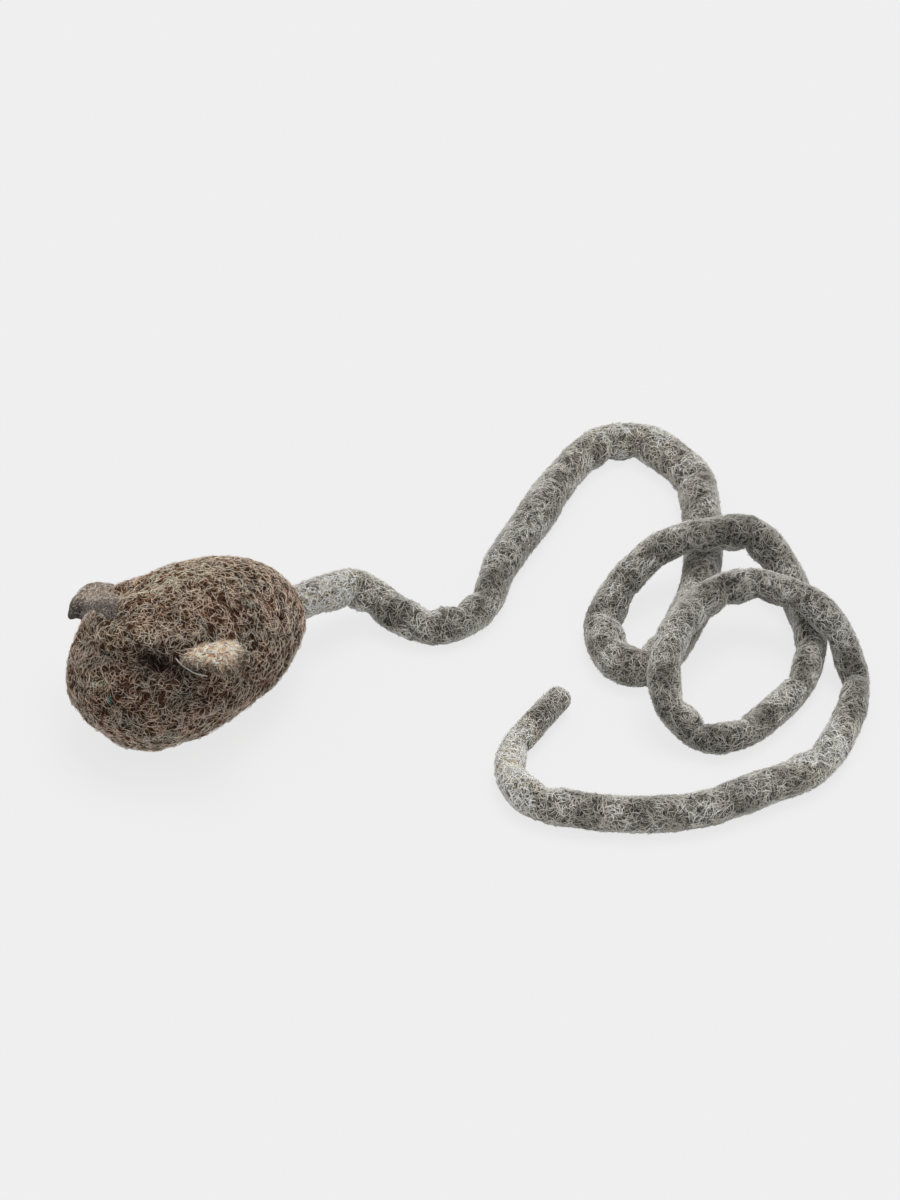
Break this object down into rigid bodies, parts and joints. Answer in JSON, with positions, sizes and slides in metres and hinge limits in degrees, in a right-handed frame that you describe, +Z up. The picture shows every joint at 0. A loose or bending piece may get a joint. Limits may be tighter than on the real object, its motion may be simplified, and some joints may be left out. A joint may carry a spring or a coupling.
{
  "type": "catnip mouse",
  "caption": "Felted wool cat toy in the shape of a mouse: stuffed egg-shaped body with herb filling, two ear flaps and a long rope tail lying in loose loops.",
  "frame": {"origin": "on the floor below the middle of the mouse, tail left out", "axes": "+Z up, nose towards -Y, tail towards +Y, the mouse's left side towards +X"},
  "size_m": [0.2299, 0.2821, 0.056],
  "materials": {
    "brown_felt": "needle-felted dark brown wool with pale curled fibres",
    "ear_felt": "needle-felted brown wool with worn cream edges",
    "grey_felt": "wet-felted mottled grey wool rope",
    "loose_wool": "carded wool stuffing",
    "dried_herb": "crumbled dried leaf"
  },
  "bodies": {
    "mouse": {"body_shell": "brown_felt", "wool_core": "loose_wool", "catnip_filling": "dried_herb", "tail_root": "grey_felt"},
    "left_ear": {"left_ear": "ear_felt"},
    "right_ear": {"right_ear": "ear_felt"},
    "tail": {"tail_lead": "grey_felt", "tail_coil": "grey_felt", "tail_tip": "grey_felt"}
  },
  "joints": [
    {"name": "left_ear_fold", "type": "hinge", "parent": "mouse", "child": "left_ear", "pos_m": [0.02881, -0.01279, 0.04476], "axis": [0.1129, 0.9886, -0.1], "range_deg": [-30, 45], "stiffness_Nm_per_rad": 0.01},
    {"name": "right_ear_fold", "type": "hinge", "parent": "mouse", "child": "right_ear", "pos_m": [-0.03192, -0.01781, 0.03805], "axis": [0.186, -0.9801, 0.07], "range_deg": [-50, 10], "stiffness_Nm_per_rad": 0.01},
    {"name": "tail_swing", "type": "hinge", "parent": "mouse", "child": "tail", "pos_m": [0.002, 0.04822, 0.019], "axis": [0, 0, 1], "range_deg": [-35, 35]}
  ]
}
